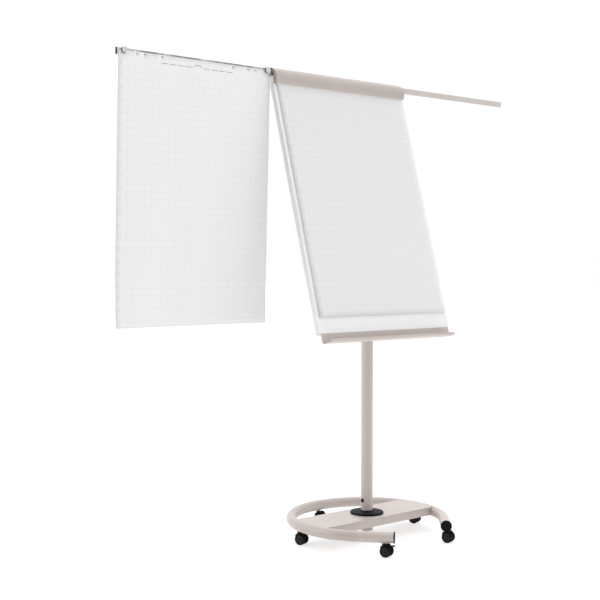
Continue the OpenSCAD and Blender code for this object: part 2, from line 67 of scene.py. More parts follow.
def on_board(x, n, s):
    """A point given across the board, out of its face and up its slope."""
    return Vector((
        x,
        BOARD_Y + s * math.sin(TILT) - n * math.cos(TILT),
        BOARD_Z + s * math.cos(TILT) + n * math.sin(TILT),
    ))


# ---------------------------------------------------------------- mesh helpers
def linked(name, data):
    """A new object in the scene that shows this data."""
    obj = bpy.data.objects.new(name, data)
    SCENE.collection.objects.link(obj)
    return obj


def mesh_object(name, points, faces, smooth_to=35):
    """A closed mesh from points and faces, shaded smooth up to that many degrees."""
    mesh = bpy.data.meshes.new(name)
    mesh.from_pydata([tuple(p) for p in points], [], faces)
    obj = linked(name, mesh)
    clean(obj, smooth_to)
    return obj


def clean(obj, smooth_to=35):
    """Welds the mesh, turns its faces outward and shades it smooth up to that many degrees."""
    bm = bmesh.new()
    bm.from_mesh(obj.data)
    bmesh.ops.remove_doubles(bm, verts=bm.verts, dist=1e-6)
    bmesh.ops.delete(bm, geom=[e for e in bm.edges if e.is_wire], context="EDGES")
    bmesh.ops.recalc_face_normals(bm, faces=bm.faces)
    for face in bm.faces:
        face.smooth = True
    bm.to_mesh(obj.data)
    bm.free()
    obj.data.set_sharp_from_angle(angle=math.radians(smooth_to))


def joined(name, parts):
    """The parts as one object of that name."""
    bm = bmesh.new()
    for part in parts:
        bm.from_mesh(part.data)
    mesh = bpy.data.meshes.new(name)
    bm.to_mesh(mesh)
    bm.free()
    for part in parts:
        bpy.data.objects.remove(part)
    return linked(name, mesh)


def soften(obj, width, steps=2, angle=40):
    """Rounds the edges that are sharper than the angle."""
    rounding = obj.modifiers.new("rounding", "BEVEL")
    rounding.width = width
    rounding.segments = steps
    rounding.limit_method = "ANGLE"
    rounding.angle_limit = math.radians(angle)
    rounding.harden_normals = True
    return obj


def skin_faces(rings, count):
    """Quads between rings that have count points each."""
    faces = []
    for i in range(rings - 1):
        for j in range(count):
            k = (j + 1) % count
            faces.append((i * count + j, i * count + k, (i + 1) * count + k, (i + 1) * count + j))
    return faces


def loft(name, rings, closed_ends=True, smooth_to=35):
    """A skin over rings of points that all have the same number of points."""
    count = len(rings[0])
    points = [p for ring in rings for p in ring]
    faces = skin_faces(len(rings), count)
    if closed_ends:
        faces.append(tuple(range(count)))
        faces.append(tuple(range((len(rings) - 1) * count, len(rings) * count)))
    return mesh_object(name, points, faces, smooth_to)


def revolve(name, profile, place, segments=64, lobes=0, depth=0.0, smooth_to=35):
    """Turns a closed profile of (radius, height) round Z and puts it in its place.
    With lobes, the radius swells and shrinks by that depth as it goes round."""
    rings = []
    for radius, height in profile:
        ring = []
        for i in range(segments):
            a = 2 * math.pi * i / segments
            swell = 1 + depth * math.cos(lobes * a) * min(1, radius / (8 * MM)) if lobes else 1
            r = radius * swell
            ring.append(place @ Vector((r * math.cos(a), r * math.sin(a), height)))
        rings.append(ring)
    if profile[0][0] or profile[-1][0]:
        rings.append(rings[0])
    return loft(name, rings, closed_ends=False, smooth_to=smooth_to)


def rounded(corners, radius, steps=5):
    """An open line of (a, b) corners with each inner corner turned into an arc."""
    line = [corners[0]]
    for before, at, after in zip(corners, corners[1:], corners[2:]):
        p, q, r = Vector(before), Vector(at), Vector(after)
        to_p, to_r = (p - q).normalized(), (r - q).normalized()
        half = to_p.angle(to_r) / 2
        reach = radius / math.tan(half)
        centre = q + (to_p + to_r).normalized() * radius / math.sin(half)
        start, end = q + to_p * reach - centre, q + to_r * reach - centre
        turn = start.angle_signed(end)
        for i in range(steps + 1):
            a = -turn * i / steps
            line.append((
                centre.x + start.x * math.cos(a) - start.y * math.sin(a),
                centre.y + start.x * math.sin(a) + start.y * math.cos(a),
            ))
    line.append(corners[-1])
    return line


def no_inset(walked, whole):
    return 0.0


def bent_sheet(name, line, thick, half, inset=no_inset, columns=12):
    """Sheet metal bent along a line of (n, s) points and run across the board.
    inset(walked, whole) says how far each end draws in at a point of the line."""
    points = [Vector(p) for p in line]
    walked = [0.0]
    for p, q in zip(points, points[1:]):
        walked.append(walked[-1] + (q - p).length)
    outer, inner, ends = [], [], []
    for i, p in enumerate(points):
        before, after = points[max(i - 1, 0)], points[min(i + 1, len(points) - 1)]
        along = (after - before).normalized()
        across = Vector((-along.y, along.x)) * thick / 2
        outer.append(p + across)
        inner.append(p - across)
        ends.append(half - inset(walked[i], walked[-1]))
    section = outer + inner[::-1]
    reach = ends + ends[::-1]
    rings = []
    for column in range(columns + 1):
        share = 2 * column / columns - 1
        rings.append([on_board(share * e, p.x, p.y) for e, p in zip(reach, section)])
    count = len(section)
    points = [p for ring in rings for p in ring]
    faces = skin_faces(len(rings), count)
    for start in (0, columns * count):
        for i in range(len(outer) - 1):
            faces.append((start + i, start + i + 1, start + count - 2 - i, start + count - 1 - i))
    return mesh_object(name, points, faces)


def block(name, low, high, place=Matrix.Identity(4), radius=0.0, steps=3):
    """A box between two corners with its edges rounded."""
    bm = bmesh.new()
    bmesh.ops.create_cube(bm, size=1)
    for vert in bm.verts:
        for axis in range(3):
            vert.co[axis] = low[axis] if vert.co[axis] < 0 else high[axis]
    if radius:
        bmesh.ops.bevel(bm, geom=bm.edges[:], offset=radius, segments=steps,
                        profile=0.5, affect="EDGES", clamp_overlap=True)
    mesh = bpy.data.meshes.new(name)
    bmesh.ops.transform(bm, matrix=place, verts=bm.verts)
    bm.to_mesh(mesh)
    bm.free()
    obj = linked(name, mesh)
    clean(obj)
    return obj


# ---------------------------------------------------------------- materials
def linear(hex_tone):
    """A colour written as #rrggbb, as linear light."""
    channels = [int(hex_tone[i:i + 2], 16) / 255 for i in (1, 3, 5)]
    return tuple(c / 12.92 if c <= 0.04045 else ((c + 0.055) / 1.055) ** 2.4 for c in channels)


def scaled(colour, factor):
    return tuple(min(1.0, c * factor) for c in colour) + (1.0,)


class Finish:
    """A material with its node tree, and short ways to add nodes to it."""

    def __init__(self, name, **sockets):
        self.material = bpy.data.materials.new(name)
        self.material.use_nodes = True
        self.tree = self.material.node_tree
        self.shader = self.tree.nodes["Principled BSDF"]
        for socket, value in sockets.items():
            self.shader.inputs[socket.replace("_", " ")].default_value = value
        self.bump_from = None

    def add(self, kind, inputs=(), **settings):
        node = self.tree.nodes.new(kind)
        for key, value in settings.items():
            setattr(node, key, value)
        for key, value in dict(inputs).items():
            self.feed(node.inputs[key], value)
        return node

    def feed(self, socket, value):
        if isinstance(value, bpy.types.NodeSocket):
            self.tree.links.new(value, socket)
        else:
            socket.default_value = value

    def object_place(self, stretch=(1, 1, 1)):
        """The point on the piece in metres, stretched along its axes."""
        place = self.add("ShaderNodeTexCoord").outputs["Object"]
        mapping = self.add("ShaderNodeMapping", {"Vector": place, "Scale": stretch})
        return mapping.outputs["Vector"]

    def noise(self, scale, detail=3, vector=None, rough=0.55):
        place = self.object_place() if vector is None else vector
        inputs = {"Vector": place, "Scale": scale, "Detail": detail, "Roughness": rough}
        return self.add("ShaderNodeTexNoise", inputs).outputs["Fac"]

    def ranged(self, value, low, high, to_low, to_high):
        inputs = {"Value": value, "From Min": low, "From Max": high,
                  "To Min": to_low, "To Max": to_high}
        return self.add("ShaderNodeMapRange", inputs).outputs["Result"]

    def mix(self, share, a, b):
        node = self.add("ShaderNodeMix", data_type="RGBA")
        self.feed(node.inputs[0], share)
        self.feed(node.inputs[6], a)
        self.feed(node.inputs[7], b)
        return node.outputs[2]

    def toned(self, pattern, base, dark, pale, low=0.3, high=0.7):
        """The base colour times dark where the pattern is low and times pale where it is high."""
        share = self.ranged(pattern, low, high, 0, 1)
        return self.mix(share, scaled(base, dark), scaled(base, pale))

    def maths(self, operation, *values):
        node = self.add("ShaderNodeMath", operation=operation)
        for socket, value in zip(node.inputs, values):
            self.feed(socket, value)
        return node.outputs[0]

    def bump(self, height, distance, strength=1.0):
        """Adds a layer of relief on top of the layers before it."""
        node = self.add("ShaderNodeBump", {"Height": height, "Distance": distance,
                                           "Strength": strength})
        if self.bump_from is not None:
            self.feed(node.inputs["Normal"], self.bump_from)
        self.bump_from = node.outputs["Normal"]
        self.feed(self.shader.inputs["Normal"], self.bump_from)

    def worn_edges(self, colour, lighter):
        """Blends the colour to the lighter one on the piece's sharp edges."""
        edge = self.add("ShaderNodeNewGeometry").outputs["Pointiness"]
        return self.mix(self.ranged(edge, 0.53, 0.6, 0.0, 0.6), colour, lighter)

    def wear(self, colour):
        self.feed(self.shader.inputs["Base Color"], colour)


def powder_coat(name, tone, rough=0.38, peel=0.00007, coat=0.3):
    """Satin powder coat: orange peel, faint cloudiness, rubbed patches and lighter edges."""
    finish = Finish(name, IOR=1.5, Coat_Weight=coat, Coat_Roughness=0.22)
    base = linear(tone)
    colour = finish.toned(finish.noise(5, 4), base, 0.965, 1.03)
    speck = finish.ranged(finish.noise(1400, 2), 0.62, 0.75, 0, 0.25)
    colour = finish.mix(speck, colour, scaled(base, 0.8))
    finish.wear(finish.worn_edges(colour, scaled(base, 1.18)))
    rubbed = finish.noise(26, 5)
    finish.feed(finish.shader.inputs["Roughness"],
                finish.ranged(rubbed, 0.35, 0.65, rough - 0.05, rough + 0.07))
    finish.bump(finish.noise(420, 2), peel, 0.5)
    finish.bump(finish.noise(1600, 1), peel * 0.3, 0.4)
    return finish.material


def enamel(name, tone):
    """White writing surface: glossy, with a faint wiped sheen."""
    finish = Finish(name, IOR=1.5, Coat_Weight=0.12, Coat_Roughness=0.12)
    base = linear(tone)
    wiped = finish.noise(9, 5, finish.object_place((1, 1, 0.25)))
    finish.wear(finish.toned(wiped, base, 0.985, 1.0, 0.35, 0.65))
    finish.feed(finish.shader.inputs["Roughness"], finish.ranged(wiped, 0.3, 0.7, 0.3, 0.4))
    finish.bump(finish.noise(300, 2), 0.00002, 0.3)
    return finish.material


def moulded(name, tone, rough=0.5, grain=0.00006, scale=1500, shine=0.5):
    """Moulded plastic or rubber with a fine spark-eroded grain and rubbed high spots."""
    finish = Finish(name, IOR=1.49, Specular_IOR_Level=shine)
    base = linear(tone)
    colour = finish.toned(finish.noise(40, 4), base, 0.88, 1.12)
    finish.wear(finish.worn_edges(colour, scaled(base, 1.6)))
    finish.feed(finish.shader.inputs["Roughness"],
                finish.ranged(finish.noise(90, 4), 0.3, 0.7, rough - 0.08, rough + 0.1))
    finish.bump(finish.noise(scale, 2), grain, 0.6)
    return finish.material


def painted_shade_strip(name, dark, pale):
    """A rough, gritty strip coloured dark grey as painted shade, paler in short stretches along it."""
    finish = Finish(name, IOR=1.45, Specular_IOR_Level=0.3, Roughness=0.75)
    shade_breaks = finish.noise(34, 3, finish.object_place((1, 0.2, 0.2)))
    share = finish.ranged(shade_breaks, 0.46, 0.66, 0.0, 0.9)
    finish.wear(finish.mix(share, linear(dark) + (1.0,), linear(pale) + (1.0,)))
    finish.bump(finish.noise(1100, 3), 0.00015, 0.7)
    return finish.material


def zinc(name, tone):
    """Zinc plated steel: pale spangle and fine drawn lines."""
    finish = Finish(name, Metallic=1.0)
    base = linear(tone)
    lines = finish.noise(220, 4, finish.object_place((1, 1, 12)))
    finish.wear(finish.toned(finish.noise(60, 2), base, 0.9, 1.06, 0.35, 0.65))
    finish.feed(finish.shader.inputs["Roughness"], finish.ranged(lines, 0.3, 0.7, 0.28, 0.45))
    finish.bump(lines, 0.00003, 0.4)
    return finish.material


def fibre_board(name, tone):
    """Raw board core: brown fibres."""
    finish = Finish(name, Roughness=0.85)
    base = linear(tone)
    fibres = finish.noise(160, 5, finish.object_place((1, 1, 8)))
    finish.wear(finish.mix(fibres, scaled(base, 0.75), scaled(base, 1.15)))
    finish.bump(fibres, 0.0003, 0.5)
    return finish.material


GRID = 25 * MM          # pitch of the grid printed on the paper
LINE = 0.35 * MM        # half the width of a printed line
BARE_HEAD = 50 * MM     # strip at the head of a sheet without the grid


def paper(name, tone, ink, printed=True):
    """Uncoated paper, with a fine grid printed over all but the head of the sheet.
    The UV map runs over the sheet in metres, from its lower left corner."""
    finish = Finish(name, Roughness=0.82, IOR=1.4)
    base, line = linear(tone), linear(ink)
    colour = finish.toned(finish.noise(60, 5), base, 0.975, 1.0)
    if printed:
        sheet = finish.add("ShaderNodeUVMap", uv_map="sheet").outputs["UV"]
        split = finish.add("ShaderNodeSeparateXYZ", {"Vector": sheet})
        across, up = split.outputs["X"], split.outputs["Y"]
        marks = []
        for along in (across, up):
            shifted = finish.maths("ADD", along, GRID * 0.3)
            off_line = finish.maths("PINGPONG", shifted, GRID / 2)
            marks.append(finish.ranged(off_line, LINE, LINE * 1.6, 1, 0))
        mark = finish.maths("MAXIMUM", marks[0], marks[1])
        inside = finish.ranged(up, PAPER_H - BARE_HEAD, PAPER_H - BARE_HEAD + 0.3 * MM, 1, 0)
        faded = finish.ranged(finish.noise(300, 3), 0.3, 0.7, 0.75, 1.0)
        mark = finish.maths("MULTIPLY", finish.maths("MULTIPLY", mark, inside), faded)
        colour = finish.mix(mark, colour, line + (1.0,))
    finish.wear(colour)
    finish.bump(finish.noise(900, 3), 0.00003, 0.5)
    finish.bump(finish.noise(7, 2), 0.0006, 0.35)
    return finish.material


def page_edges(name, tone):
    """The cut edge of a stack of sheets: fine lines that run round it."""
    finish = Finish(name, Roughness=0.9)
    base = linear(tone)
    sheet = finish.add("ShaderNodeUVMap", uv_map="sheet").outputs["UV"]
    depth = finish.add("ShaderNodeSeparateXYZ", {"Vector": sheet}).outputs["Y"]
    stack = finish.add("ShaderNodeCombineXYZ", {"Z": depth}).outputs["Vector"]
    lines = finish.noise(5200, 2, stack)
    finish.wear(finish.toned(lines, base, 0.86, 1.0, 0.35, 0.65))
    finish.bump(lines, 0.0001, 0.6)
    return finish.material


FINISHES = {
    "warm_grey_paint": powder_coat("warm_grey_powder_coat", "#b8ada7"),
    "light_grey_paint": powder_coat("light_grey_powder_coat", "#b6aba5"),
    "arm_steel": powder_coat("arm_powder_coat", "#c9c0bb", 0.34),
    "white_enamel": enamel("white_enamel_board", "#f3f3f3"),
    "grey_backing": powder_coat("pale_back_sheet", "#d6d3cf", 0.5),
    "edge_plastic": moulded("grey_edge_trim", "#cccccc", 0.5, shine=0.3),
    "board_fibre": fibre_board("raw_board_core", "#b49a78"),
    "paper": paper("printed_paper", "#f1f1f1", "#dfe0e2"),
    "black_plastic": moulded("black_moulded_plastic", "#0a0a0b", 0.6, shine=0.15),
    "grey_plastic": moulded("grey_moulded_plastic", "#a19b96", 0.45),
    "black_tread": moulded("black_wheel_tread", "#08080a", 0.7, 0.00012, 900, 0.15),
    "grip_rubber": moulded("pale_grip_rubber", "#b9b4b0", 0.7, 0.00015, 700, 0.3),
    "clip_face": moulded("pale_clip_face", "#d0d0d0", 0.38),
    "zinc_steel": zinc("zinc_plated_steel", "#b9bbbd"),
}
PAGE_EDGES = page_edges("stacked_page_edges", "#f2f2f2")
CHIPBOARD = fibre_board("grey_chipboard_backing", "#a7a39c")
# the dashes and tab of each tear line are coloured dark grey on both faces of the sheet, which is not cut
# there
DARK_TEAR_MARKS = paper("dark_tear_line_marks", "#68686b", "#68686b", printed=False)
PAD_PAGE = paper("printed_pad_page", "#e9e9e9", "#d7d8da")
# painted shade: the back of every sheet is a greyer copy of the paper, with the grid showing through
# faintly
SHADED_PAGE_BACK = paper("back_of_the_page_painted_shade", "#d0d0d0", "#c3c4c6")
# painted light: the tray's coat is a lighter copy of the warm grey paint, lifting the shade inside its
# trough
TRAY_COAT_LIGHTENED = powder_coat("tray_powder_coat_painted_light", "#c6bbb5", 0.5, coat=0.05)
WHEEL_FACE = moulded("black_wheel_face", "#0f0f11", 0.45, shine=0.25)
# painted shade: a dark strip along the left arm's top stands in for the shade under the hanging sheet's top
# edge, and shows through the punched holes
ARM_SHADE_STRIP = painted_shade_strip("painted_shade_arm_strip", "#959595", "#d6d6d6")

for cad_node in NODES.values():
    cad_slot = cad_node.data.materials[0].name
    cad_node.data.materials[0] = FINISHES[cad_slot]


def round_cad_edges(name, width):
    """Merges the CAD's triangles into flat faces and rounds its sharp edges a little."""
    node = NODES[name]
    weld = node.modifiers.new("weld", "WELD")
    weld.merge_threshold = 0.01 * MM
    flatten = node.modifiers.new("flatten", "DECIMATE")
    flatten.decimate_type = "DISSOLVE"
    flatten.angle_limit = math.radians(2)
    soften(node, width)


for cad_name, cad_width in (
    ("cross_beam", 0.8 * MM),
    ("height_clamp", 0.8 * MM),
    ("head_bracket", 0.5 * MM),
    ("front_left_brake", 0.4 * MM),
    ("right_brake", 0.4 * MM),
    ("head_rail", 0.3 * MM),
    ("rail_end_caps", 0.4 * MM),
):
    round_cad_edges(cad_name, cad_width)


def place_piece(obj, body, slot, *nodes, material=None):
    """Gives a new piece its finish, its body and the CAD nodes that it stands for."""
    if not obj.data.materials:
        obj.data.materials.append(material or FINISHES[slot])
    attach(obj, body)
    if nodes:
        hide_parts(*nodes)
    return obj


# ---------------------------------------------------------------- camera
# it stands to the front left of the easel, a little under the middle of its board
camera_data = bpy.data.cameras.new("camera")
camera_data.lens = 65.99
camera_data.sensor_width = 36
camera = linked("camera", camera_data)
camera.location = (-3.0315, -3.2363, 1.0989)
camera.rotation_euler = (math.radians(88.138), 0, math.radians(-39.629))
SCENE.camera = camera

# ---------------------------------------------------------------- floor and light
FLOOR_HALF = 40.0
FLOOR_STEPS = 8


def make_floor():
    """A wide pale sweep under the easel."""
    rings = []
    for i in range(FLOOR_STEPS + 1):
        x = FLOOR_HALF * (2 * i / FLOOR_STEPS - 1)
        rings.append([(x, FLOOR_HALF * (2 * j / FLOOR_STEPS - 1), 0) for j in range(FLOOR_STEPS + 1)])
    points = [p for ring in rings for p in ring]
    count = FLOOR_STEPS + 1
    faces = [
        (i * count + j, (i + 1) * count + j, (i + 1) * count + j + 1, i * count + j + 1)
        for i in range(FLOOR_STEPS)
        for j in range(FLOOR_STEPS)
    ]
    floor = mesh_object("studio_floor", points, faces)
    finish = Finish("pale_studio_floor", Roughness=0.7, IOR=1.3,
                    Emission_Color=(1, 1, 1, 1), Emission_Strength=0.6)
    finish.wear(finish.mix(finish.noise(2, 3), (0.47, 0.47, 0.47, 1), (0.5, 0.5, 0.5, 1)))
    finish.bump(finish.noise(60, 3), 0.0003, 0.2)
    floor.data.materials.append(finish.material)


def softbox(name, place, aim, size, power):
    """A rectangular light of that many watts, aimed at a point."""
    light = bpy.data.lights.new(name, "AREA")
    light.shape = "RECTANGLE"
    light.size, light.size_y = size
    light.energy = power
    obj = linked(name, light)
    obj.location = place
    obj.rotation_euler = (Vector(aim) - Vector(place)).to_track_quat("-Z", "Y").to_euler()


def make_world(front, dim, bright, overhead):
    """A white studio: dim towards the front, bright on the other sides, brighter overhead."""
    world = bpy.data.worlds.new("studio")
    world.use_nodes = True
    SCENE.world = world
    tree = world.node_tree
    background = tree.nodes["Background"]
    background.inputs["Color"].default_value = (1, 1, 1, 1)

    def ranged(value, low, high, to_low, to_high, blend="LINEAR"):
        node = tree.nodes.new("ShaderNodeMapRange")
        node.interpolation_type = blend
        ends = {"From Min": low, "From Max": high, "To Min": to_low, "To Max": to_high}
        for key, end in ends.items():
            node.inputs[key].default_value = end
        tree.links.new(value, node.inputs["Value"])
        return node.outputs["Result"]

    direction = tree.nodes.new("ShaderNodeTexCoord").outputs["Generated"]
    facing = tree.nodes.new("ShaderNodeVectorMath")
    facing.operation = "DOT_PRODUCT"
    facing.inputs[1].default_value = front
    tree.links.new(direction, facing.inputs[0])
    split = tree.nodes.new("ShaderNodeSeparateXYZ")
    tree.links.new(direction, split.inputs[0])
    around = ranged(facing.outputs["Value"], -0.35, 0.95, bright, dim, "SMOOTHSTEP")
    above = ranged(split.outputs["Z"], 0.1, 1.0, 0.0, overhead)
    total = tree.nodes.new("ShaderNodeMath")
    total.operation = "ADD"
    tree.links.new(around, total.inputs[0])
    tree.links.new(above, total.inputs[1])
    tree.links.new(total.outputs[0], background.inputs["Strength"])


make_floor()
make_world(front=(-0.78, -0.62, 0.0), dim=0.02, bright=1.0, overhead=0.78)
softbox("left_softbox", (-3.6, 1.4, 1.9), (0, 0, 0.9), (1.6, 2.6), 46)
softbox("right_softbox", (0.8, -3.2, 1.8), (-0.4, 0, 1.2), (1.8, 2.6), 9)
softbox("top_softbox", (0.3, 0.2, 4.6), (0, 0, 0), (3.0, 3.0), 6)
SCENE.view_settings.view_transform = "Standard"


# ---------------------------------------------------------------- paper
def inside_loop(point, loop):
    """True where the point lies inside the closed loop."""
    x, y = point
    hit = False
    for (x0, y0), (x1, y1) in zip(loop, loop[1:] + loop[:1]):
        if (y0 > y) != (y1 > y) and x < (x1 - x0) * (y - y0) / (y1 - y0) + x0:
            hit = not hit
    return hit


def circle(x, y, r, count=14):
    """The points of a hole's rim."""
    return [
        (x + r * math.cos(2 * math.pi * i / count), y + r * math.sin(2 * math.pi * i / count))
        for i in range(count)
    ]


def cut_sheet(width, height, step, holes=(), marks=()):
    """Triangles over a rectangle, with the holes left out. Returns the points, the triangles,
    and for each triangle whether it lies in one of the marks."""
    across, up = round(width / step), round(height / step)
    rim = [(width * i / across, 0.0) for i in range(across)]
    rim += [(width, height * i / up) for i in range(up)]
    rim += [(width - width * i / across, height) for i in range(across)]
    rim += [(0.0, height - height * i / up) for i in range(up)]
    points, edges = [], []
    for loop in [rim, *holes, *marks]:
        first = len(points)
        points += loop
        edges += [(first + i, first + (i + 1) % len(loop)) for i in range(len(loop))]
    for i in range(1, across):
        for j in range(1, up):
            # every other row is shifted, so that the paper bends evenly in all directions
            shift = 0.25 * step * (1 if j % 2 else -1)
            points.append((width * i / across + shift, height * j / up))
    made = geometry.delaunay_2d_cdt([Vector(p) for p in points], edges, [], 0, 1e-7)
    flat, triangles, marked = made[0], [], []
    for face in made[2]:
        middle = sum((flat[i] for i in face), Vector((0, 0))) / len(face)
        if any(inside_loop(middle, hole) for hole in holes):
            continue
        triangles.append(tuple(face))
        marked.append(any(inside_loop(middle, mark) for mark in marks))
    return [(p.x, p.y) for p in flat], triangles, marked


def paper_object(name, flat, triangles, marked, shape, front, thickness):
    """A sheet whose flat points are put in their places by shape(across, up)."""
    mesh = bpy.data.meshes.new(name)
    mesh.from_pydata([tuple(shape(u, v)) for u, v in flat], [], triangles)
    layer = mesh.uv_layers.new(name="sheet")
    for loop in mesh.loops:
        layer.data[loop.index].uv = flat[loop.vertex_index]
    for material in (front, DARK_TEAR_MARKS, SHADED_PAGE_BACK, DARK_TEAR_MARKS):
        mesh.materials.append(material)
    for polygon, mark in zip(mesh.polygons, marked):
        polygon.use_smooth = True
        polygon.material_index = int(mark)
    obj = linked(name, mesh)
    two_sides = obj.modifiers.new("thickness", "SOLIDIFY")
    two_sides.thickness = thickness
    two_sides.offset = 0
    # the back faces take the greyer painted-shade copy of the paper
    two_sides.material_offset = 2
    return obj


PAPER_STEP = 22 * MM    # pitch of the mesh that lets a sheet bend
PUNCH_XS = (-263.5, -231.5, -158, 158, 231.5, 263.5)   # punched holes, from the sheet's middle, mm
PUNCH_DROP = 7.5 * MM
PUNCH_R = 4.0 * MM
TEAR_DROP = 29 * MM
DASH, DASH_GAP = 28.5 * MM, 6.5 * MM
DASH_HALF_T = 0.9 * MM
TAB_HALF, TAB_RISE = 19 * MM, 10.5 * MM


def tear_line(middle, height):
    """The perforation that lets a sheet tear off: dashes to both sides of an arched tab."""
    marks = []
    for side in SIDES:
        for i in range(4):
            near = TAB_HALF + 6 * MM + i * (DASH + DASH_GAP)
            x0, x1 = sorted((middle + side * near, middle + side * (near + DASH)))
            marks.append([(x0, height - DASH_HALF_T), (x1, height - DASH_HALF_T),
                          (x1, height + DASH_HALF_T), (x0, height + DASH_HALF_T)])
    steps = 16
    outer = [
        (middle + TAB_HALF * (2 * i / steps - 1),
         height + TAB_RISE * math.sin(math.pi * i / steps) ** 0.5)
        for i in range(steps + 1)
    ]
    inner = [(x, y - 2.4 * DASH_HALF_T) for x, y in outer]
    marks.append(outer + inner[::-1])
    return marks


def punched(width, height):
    """The row of filing holes at the head of a sheet."""
    return [circle(width / 2 + x * MM, height - PUNCH_DROP, PUNCH_R) for x in PUNCH_XS]


SHEET_LOW, SHEET_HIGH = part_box("hanging_sheet")
ARM_LOW, ARM_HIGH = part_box("left_arm")
SHEET_LEAN = math.radians(2)
SHEET_FRONT = ARM_LOW.y - 0.6 * MM
CURL = 0.016            # how far the free lower left corner comes forward
FLARE = 0.005           # how far that corner reaches out to the side
BELLY = 0.006           # how far the sheet bows between its edges
INWARD = 2.5 * MM       # how far the sheet hangs nearer to the board than its CAD slab


def hanging(u, v):
    """The hanging sheet: straight along the arm, bowing and curling a little lower down."""
    fall = 1 - v / PAPER_H
    side = 2 * u / PAPER_W - 1
    bow = BELLY * math.sin(math.pi * min(1, fall * 1.1)) * math.cos(math.pi * side / 2)
    waves = 0.0022 * fall * math.sin(3.1 * math.pi * side + 0.8 + 1.5 * fall)
    low_left = max(0.0, fall - 0.72) / 0.28 * max(0.0, -side - 0.1) / 0.9
    low_right = max(0.0, fall - 0.85) / 0.15 * max(0.0, side - 0.4) / 0.6
    forward = bow + waves + CURL * low_left ** 1.7 + 0.004 * low_right ** 2
    back = (PAPER_H - v) * math.sin(SHEET_LEAN)
    down = (PAPER_H - v) * math.cos(SHEET_LEAN)
    across = SHEET_LOW.x + INWARD + u - FLARE * low_left ** 2
    return Vector((across, SHEET_FRONT + back - forward, SHEET_HIGH.z - down))


flat, triangles, marked = cut_sheet(
    PAPER_W, PAPER_H, PAPER_STEP, punched(PAPER_W, PAPER_H),
    tear_line(PAPER_W / 2, PAPER_H - TEAR_DROP),
)
turned_sheet = paper_object(
    "turned_sheet", flat, triangles, marked, hanging, FINISHES["paper"], 0.35 * MM
)
place_piece(turned_sheet, "left_arm", "paper", "hanging_sheet")

# the pad: a grey backing, a stack of pages and the page on top
PAD_HOOK_XS = (-148 * MM, 148 * MM)
PAD_HOOK_UP = 1036 * MM - PAD_FOOT
BACKING_T = 0.9 * MM
TOP_PAGE_T = 0.25 * MM
SLAB_STEP = 45 * MM     # pitch of the mesh of the flat stacks under the top page
SLIP_SEED = 7
PAD_HOLES = [circle(PAPER_W / 2 + x, PAD_HOOK_UP, 3.4 * MM, 20) for x in PAD_HOOK_XS]


def slab(name, low, high, layers, slip, materials):
    """A stack with the pad's outline from one depth to another, its layers slipped a little."""
    flat, triangles, _ = cut_sheet(PAPER_W, PAPER_H, SLAB_STEP, PAD_HOLES)
    draws = random.Random(SLIP_SEED)
    bm = bmesh.new()
    layer_uv = bm.loops.layers.uv.new("sheet")
    levels = []
    for i in range(layers + 1):
        n = low + (high - low) * i / layers
        dx, ds = slip * draws.uniform(-1, 1), slip * draws.uniform(-1, 1)
        levels.append([
            bm.verts.new(on_board(u - PAPER_W / 2 + dx, n, PAD_FOOT + v + ds)) for u, v in flat
        ])
    uses = {}
    for a, b, c in triangles:
        for edge in ((a, b), (b, c), (c, a)):
            uses.setdefault(tuple(sorted(edge)), []).append(edge)
    rim = [found[0] for found in uses.values() if len(found) == 1]
    for level, flip in ((levels[0], True), (levels[-1], False)):
        for a, b, c in triangles:
            order = (c, b, a) if flip else (a, b, c)
            face = bm.faces.new([level[i] for i in order])
            for loop, i in zip(face.loops, order):
                loop[layer_uv].uv = flat[i]
    for below, above, i in zip(levels, levels[1:], range(layers)):
        for a, b in rim:
            face = bm.faces.new([below[a], below[b], above[b], above[a]])
            face.material_index = 1
            for loop, rise in zip(face.loops, (0, 0, 1, 1)):
                loop[layer_uv].uv = (flat[a][0], low + (high - low) * (i + rise) / layers)
    mesh = bpy.data.meshes.new(name)
    bmesh.ops.recalc_face_normals(bm, faces=bm.faces)
    bm.to_mesh(mesh)
    bm.free()
    for material in materials:
        mesh.materials.append(material)
    return linked(name, mesh)


def top_page_shape(u, v):
    """The page on top lies on the stack and lifts a little at its lower corners."""
    side = abs(2 * u / PAPER_W - 1)
    corner = max(0.0, 1 - v / 0.16) * max(0.0, side - 0.55) / 0.45
    ripple = 0.0004 * (1 + noise.noise(Vector((u * 5, v * 4, 3.0))))
    lift = 0.5 * TOP_PAGE_T + ripple + 0.0018 * corner ** 2
    return on_board(u - PAPER_W / 2, PAD_T - TOP_PAGE_T + lift, PAD_FOOT + v)


pad_backing = slab("pad_backing", 0.05 * MM, BACKING_T, 1, 0.0, [CHIPBOARD, CHIPBOARD])
place_piece(pad_backing, "head", "paper")
pad_pages = slab("pad_pages", BACKING_T, PAD_T - TOP_PAGE_T, 6, 0.35 * MM,
                 [PAD_PAGE, PAGE_EDGES])
place_piece(pad_pages, "head", "paper", "writing_pad")
flat, triangles, marked = cut_sheet(
    PAPER_W, PAPER_H, PAPER_STEP, PAD_HOLES, tear_line(PAPER_W / 2, PAPER_H - TEAR_DROP)
)
top_page = paper_object(
    "top_page", flat, triangles, marked, top_page_shape, PAD_PAGE, TOP_PAGE_T
)
place_piece(top_page, "head", "paper")


